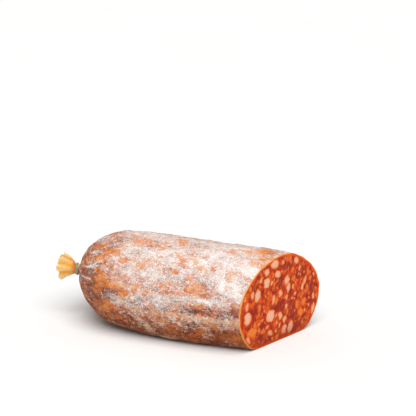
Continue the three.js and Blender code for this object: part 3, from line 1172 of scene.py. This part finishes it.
fibre = cut.noise(cut.place((1, 0.34, 1), along_grain), 0.9, 3, 0.6)
crumbs = grain_cells(0.5, 1.2, 2, 1.7)
clumps = grain_cells(0.6, 3, 5, 4.4)
zone = cut.attribute("lean_zone")
drift = cut.noise(face, 8, 2) - 0.5
lean = cut.ramp(
    clumps * 0.30 + crumbs * 0.22 + fibre * 0.38 + drift * 1.6 + 0.12 + zone * -0.28,
    (0.22, (140, 32, 18)),
    (0.40, (160, 40, 16)),
    (0.55, (178, 46, 10)),
    (0.70, (202, 66, 12)),
    (0.88, (224, 94, 20)),
)
lean = cut.mix(zone * 0.4, lean, (146, 44, 34))
cut.note("lean")

# %% [markdown]
# ## Fat and stains
# The stored depths draw the pieces over the lean. A depth with a little noise added has an uneven
# edge, and steps at other depths give the halo outside a piece and the paler middle inside it.

# %% Stained pieces and slivers
wobble = cut.noise(face, 1.8, 3, 0.6) - 0.5
stain_depth = cut.attribute("stain") + wobble * 2.0
stain_colour = cut.lay(
    cut.mix(cut.attribute("stain_tone"), (230, 136, 62), (224, 96, 10)),
    (0.55, cut.mix(stain_depth.step(0.0, 2.2), (220, 88, 12), (244, 152, 60))),
    (fibre.step(0.46, 0.66) * 0.5, (202, 70, 10)),
)
slivers = grain_cells(0.3, 0.9, 2, 1.5).step(0.84, 0.90)
meat = cut.lay(
    lean,
    (stain_depth.step(-0.7, 0.7) * 0.88, stain_colour),
    (slivers * 0.34, (230, 122, 50)),
)
cut.note("stains")

# %% Fat in the cut
fat_depth = cut.attribute("fat") + wobble * 0.7
fat_mask = fat_depth.step(-0.25, 0.5)
cream = cut.lay(
    cut.mix(fat_depth.step(0.0, 3.0), (240, 146, 76), (230, 186, 168)),
    (cut.attribute("fat_tone"), (232, 142, 72)),
    (cut.noise(face, 1.1, 3, 0.7) * 0.3, (214, 140, 110)),
)
meat = cut.lay(meat, (fat_depth.step(-1.3, 0.0) * 0.6, (208, 78, 14)), (fat_mask, cream))
cut.note("fat")

# %% [markdown]
# ## Rim of the cut
# A thin orange band runs inside the rim, where the casing has coloured the meat, and the foot of the
# face is in the sausage's own shade. A low, uneven roughness makes the face look moist, not wet.

# %% Rim, foot and moist surface
edge = cut.attribute("rim") + wobble * 0.9
far_side = cut.attribute("across").step(-12.0, 12.0)
meat = cut.lay(
    meat,
    (edge.step(3.6, 1.2) * 0.8, (224, 86, 4)),
    (edge.step(1.2, 0.6), cut.mix(far_side, (238, 156, 66), (240, 104, 0))),
    (cut.level().step(0.022, 0.0) * 0.5, (120, 34, 8)),
)
height = fat_mask * -0.5 + fibre * 0.8 + crumbs * 0.35
moist = cut.noise(face, 5, 3) * 0.28 + 0.30
cut.done(cut.surface(meat, moist, cut.bump(height, 0.3, 0.5), specular=0.1))

# %% [markdown]
# ## Dressing the body
# The body is one skin with two finishes, so each face is given the number of its finish. The rim's
# edges are marked sharp, because smooth shading would otherwise round the knife's crisp edge.

# %% Dress the body
body.data.materials.append(casing.material)
body.data.materials.append(cut.material)
which = [0] * casing_faces + [1] * (face_faces - casing_faces) + [0] * (len(faces) - face_faces)
body.data.polygons.foreach_set("material_index", which)
ends = np.empty(len(body.data.edges) * 2, int)
body.data.edges.foreach_get("vertices", ends)
sharp = (ends.reshape(-1, 2) < AROUND).all(1)
body.data.attributes.new("sharp_edge", "BOOLEAN", "EDGE").data.foreach_set("value", sharp)
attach(body, "root")
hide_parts("sausage")
print("sharp edges round the rim", sharp.sum())

# %% [markdown]
# ## The tail of dry casing
# Beyond the string the empty casing spreads like a fan. It is a pleated tube: thin at its free
# edge, where light shines through, and bunched up solid near the neck. Sharp creases between
# rounded folds are what make it read as dried skin instead of cloth.

# %% Sizes and folds of the tail
TAIL_LENGTH = 19.5
TAIL_TOP_SHORTER = 8.0
TAIL_FOOT_SHORTER = 4.6
TAIL_HALF_HEIGHT = 13.8
TAIL_HALF_DEPTH = 8.6
TAIL_RISE = 3.5
TAIL_AROUND = 288
BROAD_FOLDS, NARROW_FOLDS = 0.19, 0.10
tail_angles = np.arange(TAIL_AROUND) / TAIL_AROUND * 2 * math.pi


def tail_folds(share):
    """Rounded folds with sharp creases between them, above and below zero."""
    fold = tail_angles - math.pi / 2
    broad = np.abs(np.cos(4 * fold + 0.35 * np.sin(2 * fold))) ** 0.8 * 2 - 1.2
    narrow = np.abs(np.cos(9.5 * fold + 1.2 * np.sin(fold) + 0.6 + 0.8 * share)) - 0.6
    return BROAD_FOLDS * broad + NARROW_FOLDS * narrow


print("folds at the free edge", span(tail_folds(1), 2))

# %% Rings of the tail
SPREAD_POWER, SPREAD_LEAN = 0.68, 0.17
SMALLEST_SHARE = 1e-6
CRUMPLE_SIZE, CRUMPLE_DEPTH = 7, 0.035
TAIL_NECK_CREASE = 0.05
RAGGED, FRAYED = 0.9, 0.5


def tail_ring(share, inset=0.0):
    """A ring of the tail: share 0 at the neck, 1 at the free edge; inset moves it inwards."""
    upright = np.sin(tail_angles)
    depth = NECK_RADIUS + (TAIL_HALF_DEPTH - NECK_RADIUS) * share
    spread = max(share, SMALLEST_SHARE) ** (SPREAD_POWER - SPREAD_LEAN * upright)
    tall = NECK_RADIUS + (TAIL_HALF_HEIGHT - NECK_RADIUS) * spread
    spots = np.stack([np.full(TAIL_AROUND, share * 20), depth * np.cos(tail_angles), tall * upright], -1)
    crumple = CRUMPLE_DEPTH * wave_field(spots, CRUMPLE_SIZE, 18, 8)
    size = 1 + share * (tail_folds(share) + crumple)
    size = size - TAIL_NECK_CREASE * neck_crease(tail_angles) * (1 - share)
    shorter = np.where(upright > 0, TAIL_TOP_SHORTER, TAIL_FOOT_SHORTER) * upright**2
    ragged = RAGGED * (np.sin(3 * tail_angles + 0.6) + np.cos(8 * tail_angles + 0.5))
    ragged = ragged + FRAYED * np.abs(np.sin(19 * tail_angles))
    size = size * (1 - inset)
    return neck_point(
        NECK_LENGTH + (TAIL_LENGTH - shorter + ragged) * share,
        depth * size * np.cos(tail_angles),
        TAIL_RISE * math.sqrt(share) + tall * size * upright,
    )


print("free edge", span(tail_ring(1.0)[:, 2]), "mm above the floor")

# %% Rings from the neck out, and back inside
TAIL_RINGS = 44
INSIDE_ENDS = 0.16
FILM_INSET, BUNCH_INSET, BUNCH_POWER = 0.035, 0.6, 1.5
UNDER_STRING = (5.2, 6.0, 6.9)
neck_width = (NECK_RADIUS + 0.2) * (1 - TAIL_NECK_CREASE * neck_crease(tail_angles))
tail_rings = []
for distance in UNDER_STRING:
    reach = np.full(TAIL_AROUND, distance)
    sideways, upwards = neck_width * np.cos(tail_angles), neck_width * np.sin(tail_angles)
    tail_rings.append(neck_point(reach, sideways, upwards))
outer_shares = np.linspace(0, 1, TAIL_RINGS)
inner_shares = np.linspace(1, INSIDE_ENDS, TAIL_RINGS - 8)
insets = FILM_INSET + BUNCH_INSET * (1 - inner_shares) ** BUNCH_POWER
tail_rings += [tail_ring(share, -0.02 * (1 - share)) for share in outer_shares]
tail_rings += [tail_ring(share, inset) for share, inset in zip(inner_shares, insets)]
tail_shares = np.concatenate([np.zeros(len(UNDER_STRING)), outer_shares, inner_shares])
tail_rings = np.array(tail_rings)
print("tail rings", tail_rings.shape)

# %% Skin of the tail
tail_ends = [tail_rings[0].mean(0)[None], tail_rings[-1].mean(0)[None]]
tail_points = np.concatenate([tail_rings.reshape(-1, 3), *tail_ends])
tail_faces = []
for r in range(len(tail_rings) - 1):
    tail_faces += quads(r * TAIL_AROUND, (r + 1) * TAIL_AROUND, TAIL_AROUND)
tail_faces += fan(len(tail_points) - 2, 0, TAIL_AROUND)
tail_faces += fan(len(tail_points) - 1, (len(tail_rings) - 1) * TAIL_AROUND, TAIL_AROUND, flipped=True)
tail = new_piece("casing_tail", in_frame(tail_points), tail_faces)
fold_height = np.concatenate([tail_folds(share) for share in tail_shares])
add_values(tail, "share", np.repeat(tail_shares, TAIL_AROUND))
add_values(tail, "fold", fold_height)

# %% [markdown]
# ## Dry casing finish
# Dry casing is a tough, thin film that glows orange where light passes through it and goes pale
# where it is scuffed. A share of light is let through, and fine fibres run from neck to edge.

# %% Tail finish
LET_THROUGH = 0.42
dry = Finish("dry_casing")
fibres = dry.noise(dry.place((350, 2600, 2600)), 1.6, 4, 0.6)
scuffs = dry.noise(dry.place(), 3.6, 3, 0.55)
share = dry.attribute("share")
# The fold height is painted into the colour: paler crests as painted highlight and deeper orange creases
# as painted shade, over the casing's own amber.
amber_with_fold_shade = dry.ramp(
    fibres * 0.45 + scuffs * 0.45 + dry.attribute("fold") * 0.70 + share * 0.12,
    (0.27, (252, 146, 10)),
    (0.42, (255, 202, 72)),
    (0.58, (255, 226, 138)),
    (0.76, (255, 244, 216)),
)
amber_with_fold_shade = dry.mix(share.step(0.30, 0.0), amber_with_fold_shade, (226, 150, 76))
relief = dry.bump(fibres + scuffs * 0.6, 0.35, 0.6)
front = dry.surface(amber_with_fold_shade, 0.46, relief, specular=0.35)
glow = dry.mix(0.35, amber_with_fold_shade, (255, 180, 66))
through = dry.node("BsdfTranslucent", {"Color": glow, "Normal": relief})
dry.done(dry.node("MixShader", {0: LET_THROUGH, 1: front, 2: through}))
tail.data.materials.append(dry.material)
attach(tail, "root")

# %% [markdown]
# ## The string
# String is three thin yarns twisted together. Sweeping three small tubes along one path, each
# turning round it, gives the twist for real, so it catches light on every ply. The path goes twice
# round the neck, through a small overhand knot, and ends in two short tails.


# %% A path in even steps, and its sides
def even_path(path, spacing):
    steps = np.linalg.norm(np.diff(path, axis=0), axis=1)
    run = np.concatenate([[0], np.cumsum(steps)])
    marks = np.linspace(0, run[-1], max(6, int(run[-1] / spacing)))
    return np.stack([np.interp(marks, run, path[:, k]) for k in range(3)], -1), marks


def sides_of(path):
    """Two directions square to the path at each point, which turn as little as they can."""
    ahead = np.gradient(path, axis=0)
    ahead /= np.linalg.norm(ahead, axis=1)[:, None]
    side = np.zeros_like(path)
    guide = np.cross(ahead[0], [0.3, 0.2, 1.0])
    for i, direction in enumerate(ahead):
        guide = guide - direction * (guide @ direction)
        guide /= np.linalg.norm(guide)
        side[i] = guide
    return side, np.cross(ahead, side)


sample_path, sample_marks = even_path(np.array([[0.0, 0, 0], [3, 0, 0], [3, 4, 0]]), 1)
print("a bent path of", sample_marks[-1], "mm in", len(sample_path), "even points")

# %% Faces of a thin closed tube
YARN_SIDES = 7


def tube_faces(start, count):
    """Faces of a closed tube of rounds of points, with one more point for each end."""
    firsts = [start + r * YARN_SIDES for r in range(count)]
    skins = []
    for first in firsts[:-1]:
        skins += quads(first, first + YARN_SIDES, YARN_SIDES, flipped=True)
    tip = start + count * YARN_SIDES
    skins += fan(tip, start, YARN_SIDES, flipped=True)
    return skins + fan(tip + 1, firsts[-1], YARN_SIDES)


print("a tube of 10 rounds has", len(tube_faces(0, 10)), "faces")

# %% Three yarns wound round a path
STRING_RADIUS = 0.56
YARN_RADIUS = 0.33
YARN_OFFSET = 0.29
YARN_SPACING = 0.42
TWIST_PITCH = 3.8


def twisted_string(path):
    """Vertices and faces of three closed yarns wound round a path."""
    path, marks = even_path(path, YARN_SPACING)
    side, other = sides_of(path)
    turn_round = np.arange(YARN_SIDES)[None, :, None] / YARN_SIDES * 2 * math.pi
    circle = np.cos(turn_round) * side[:, None] + np.sin(turn_round) * other[:, None]
    spots, skins = [], []
    for yarn in range(3):
        turn = marks / TWIST_PITCH * 2 * math.pi + yarn * 2 * math.pi / 3
        core = path + YARN_OFFSET * (np.cos(turn)[:, None] * side + np.sin(turn)[:, None] * other)
        rounds = core[:, None] + YARN_RADIUS * circle
        skins += tube_faces(sum(len(s) for s in spots), len(core))
        spots.append(np.concatenate([rounds.reshape(-1, 3), core[:1], core[-1:]]))
    return np.concatenate(spots), skins


straight_spots, _ = twisted_string(np.array([[0.0, 0, 0], [10, 0, 0]]))
print("a straight string of 10 mm has", len(straight_spots), "points")

# %% Two turns round the neck
CLEAR_SPACE = 0.35
WRAP_RADIUS = NECK_RADIUS + CLEAR_SPACE + STRING_RADIUS
TURN_SPACING = 1.05
TURNS = 2
STEP_EASE = 0.12
WRAP_GAP = 0.10


def from_neck(distance, across, up):
    return neck_point(np.asarray(distance, float), np.asarray(across, float), np.asarray(up, float))


turns = np.linspace(WRAP_GAP, TURNS * 2 * math.pi - WRAP_GAP, 260)
# The step from one turn to the next is eased over a short stretch behind the knot.
step_over = 1 / (1 + np.exp(-(turns - 2 * math.pi) / STEP_EASE))
wrap = from_neck(
    TIE_DISTANCE + TURN_SPACING * (step_over - 0.5),
    WRAP_RADIUS * np.cos(turns),
    WRAP_RADIUS * np.sin(turns),
)
print("string in the two turns", round(TURNS * 2 * math.pi * WRAP_RADIUS), "mm")

# %% Knot and loose ends
KNOT_ACROSS = WRAP_RADIUS + 1.1
KNOT_SIZE, KNOT_DEPTH = 0.62, 0.34
END_LENGTH = 6.4
t = np.linspace(0, 2 * math.pi, 90)
knot = from_neck(
    TIE_DISTANCE - KNOT_SIZE * np.sin(3 * t),
    KNOT_ACROSS + KNOT_DEPTH * (np.sin(t) + 2 * np.sin(2 * t)),
    KNOT_SIZE * (np.cos(t) - 2 * np.cos(2 * t)),
)
s = np.linspace(0, 1, 24)
tails = [
    from_neck(
        TIE_DISTANCE + way * (0.5 + 1.3 * s**1.5),
        KNOT_ACROSS + 0.6 + 2.0 * np.sin(1.6 * s) + 0.5 * way * s,
        -0.4 - (END_LENGTH - 0.8 * way) * s**1.3,
    )
    for way in (-1, 1)
]
string_spots, string_skins = [], []
for path in (wrap, knot, *tails):
    spots, skins = twisted_string(path)
    base = sum(len(s) for s in string_spots)
    string_spots.append(spots)
    string_skins += [[base + i for i in skin] for skin in skins]
string = new_piece("string_tie", in_frame(np.concatenate(string_spots)), string_skins)

# %% [markdown]
# ## String finish
# Kitchen string is matt and a little uneven in colour. A fine noise gives the fluff of its fibres,
# in colour and in relief, and a broad one the stretches that have greyed more than others.

# %% String finish
yarn = Finish("grey_green_string")
fluff = yarn.noise(yarn.place(), 0.35, 3, 0.6)
greyed = yarn.noise(yarn.place(), 3.0, 2)
green = yarn.ramp(
    fluff * 0.5 + greyed * 0.5,
    (0.30, (116, 132, 112)),
    (0.50, (150, 162, 142)),
    (0.70, (196, 200, 180)),
)
yarn.done(yarn.surface(green, 0.85, yarn.bump(fluff, 0.12, 0.8), specular=0.25))
string.data.materials.append(yarn.material)
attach(string, "root")
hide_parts("tie")

# %% [markdown]
# ## Studio
# A pale floor, one broad light overhead and an even glow from all round keep the powdery mould
# readable and let the cut glisten without hard spots. The broad light is a sun with a wide disc, so
# its shadows have soft edges.

# %% Floor
FLOOR_SIZE = 60
bpy.ops.mesh.primitive_plane_add(size=FLOOR_SIZE)
floor = bpy.context.object
floor.name = "pale_floor"
ground = Finish("pale_floor")
speckle = ground.noise(ground.place((1, 1, 1)), 0.4, 2)
pale = ground.mix(speckle, (236, 236, 235), (241, 241, 240))
ground.done(ground.surface(pale, 0.9))
floor.data.materials.append(ground.material)

# %% Light overhead and all round
KEY_STRENGTH, KEY_WIDTH = 2.75, math.radians(55)
GLOW_STRENGTH = 0.42
key = bpy.data.lights.new("overhead", "SUN")
key.energy = KEY_STRENGTH
key.angle = KEY_WIDTH
key_holder = bpy.data.objects.new("overhead", key)
bpy.context.collection.objects.link(key_holder)
key_holder.rotation_euler = (math.radians(22), math.radians(16), 0)
world = bpy.data.worlds.new("studio")
world.use_nodes = True
background = world.node_tree.nodes["Background"]
background.inputs["Color"].default_value = (1, 1, 1, 1)
background.inputs["Strength"].default_value = GLOW_STRENGTH
bpy.context.scene.world = world
bpy.context.scene.view_settings.view_transform = "Standard"
print("light overhead", key.energy, "and all round", GLOW_STRENGTH)

# %% [markdown]
# ## Camera
# The camera stands where the picture was taken: a long lens, a little above the sausage and beside
# its cut end. The numbers come from fitting the form's outline to the one in the photo.

# %% Camera
VIEW_TURN, VIEW_PITCH = math.radians(19.03), math.radians(16.70)
LENS = 88.5
# Millimetres beyond the middle of the cut, in front of it and above the floor.
VIEW_BEYOND, VIEW_FRONT, VIEW_HEIGHT = 248.97, 959.28, 440.0
camera_data = bpy.data.cameras.new("camera")
camera_data.sensor_width = 36
camera_data.lens = LENS
camera = bpy.data.objects.new("camera", camera_data)
bpy.context.collection.objects.link(camera)
view_x = TIED_POLE[0] + BODY_LENGTH + VIEW_BEYOND
camera.location = (view_x * MM, (TIED_POLE[1] - VIEW_FRONT) * MM, VIEW_HEIGHT * MM)
camera.rotation_euler = (math.pi / 2 - VIEW_PITCH, 0, VIEW_TURN)
bpy.context.scene.camera = camera
print("camera at", [round(place, 3) for place in camera.location])

# %% [markdown] ## Finish

# %% Finish
bpy.context.view_layer.update()
